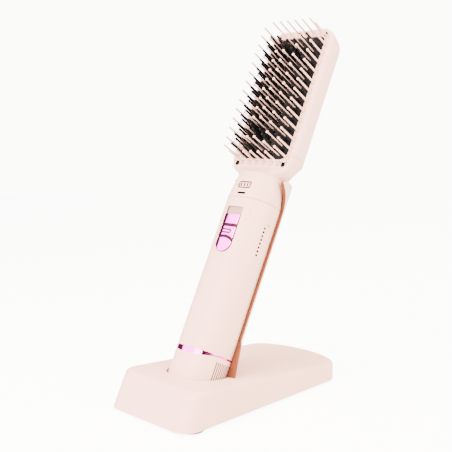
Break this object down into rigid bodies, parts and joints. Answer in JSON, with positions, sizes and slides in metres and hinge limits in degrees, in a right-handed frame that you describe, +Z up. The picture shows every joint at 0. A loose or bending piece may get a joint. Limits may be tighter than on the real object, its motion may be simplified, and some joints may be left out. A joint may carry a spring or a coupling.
{
  "type": "hair straightening brush with charging stand",
  "caption": "Cordless hair straightening brush with rigid pins around a heated plate, docked leaning in a low charging stand with a copper-lined backrest.",
  "frame": {"origin": "middle of the stand's footprint, on the surface it stands on", "axes": "+Z up, -Y towards the pins and the stand's blunt end, +X across the stand. The docked brush leans back towards +Y by 26.9 degrees."},
  "size_m": [0.08, 0.1775, 0.2706],
  "materials": {
    "pale_pink": "satin",
    "white_shell": "satin",
    "pin_white": "satin",
    "plate_black": "satin ceramic coating",
    "copper": "satin metallic",
    "pink_chrome": "polished, tinted pink",
    "icon_mauve": "gloss",
    "foot_rubber": "matte",
    "screw_steel": "plain",
    "gold_contact": "plated",
    "board_green": "solder mask",
    "cell_blue": "wrapped",
    "inner_grey": "moulded",
    "ceramic": "ceramic"
  },
  "bodies": {
    "stand": {"stand_shell": "pale_pink", "stand_bottom_plate": "pale_pink", "rubber_feet": "foot_rubber", "bottom_screws": "screw_steel", "ballast_plate": "screw_steel", "cradle_liner": "copper", "backrest_shell": "white_shell", "backrest_screws": "screw_steel", "dock_board": "board_green", "dock_board_screws": "screw_steel", "pogo_barrels": "gold_contact", "pogo_springs": "screw_steel", "power_inlet": "screw_steel", "inlet_board": "board_green"},
    "brush": {"head_front_frame": "pale_pink", "guard_pins": "pale_pink", "heated_plate": "plate_black", "heating_teeth": "plate_black", "cool_pins": "pin_white", "ptc_heaters": "ceramic", "thermal_cutout": "screw_steel", "head_back_shell": "white_shell", "head_screws": "screw_steel", "neck_shell": "pale_pink", "battery_gauge_lens": "icon_mauve", "status_light_lens": "icon_mauve", "grip_tube": "pale_pink", "temperature_dots": "icon_mauve", "mode_switch_body": "inner_grey", "control_board": "board_green", "battery_cell": "cell_blue", "battery_terminals": "screw_steel", "battery_sled": "inner_grey", "trim_ring": "pink_chrome", "bottom_cap": "pale_pink", "charge_pads": "gold_contact"},
    "mode_slider": {"mode_slider_button": "pink_chrome", "mode_slider_carrier": "inner_grey", "mode_switch_lever": "inner_grey"},
    "pogo_left": {"pogo_pin_left": "gold_contact"},
    "pogo_right": {"pogo_pin_right": "gold_contact"}
  },
  "joints": [
    {"name": "brush_lift", "type": "slide", "parent": "stand", "child": "brush", "axis": [0, 0.4524, 0.8918], "range_m": [0, 0.165]},
    {"name": "mode_switch", "type": "slide", "parent": "brush", "child": "mode_slider", "axis": [0, 0.4524, 0.8918], "range_m": [0, 0.006]},
    {"name": "pogo_left_press", "type": "slide", "parent": "stand", "child": "pogo_left", "axis": [0, 0.4524, 0.8918], "range_m": [-0.001, 0], "stiffness_N_per_m": 60},
    {"name": "pogo_right_press", "type": "slide", "parent": "stand", "child": "pogo_right", "axis": [0, 0.4524, 0.8918], "range_m": [-0.001, 0], "stiffness_N_per_m": 60}
  ]
}
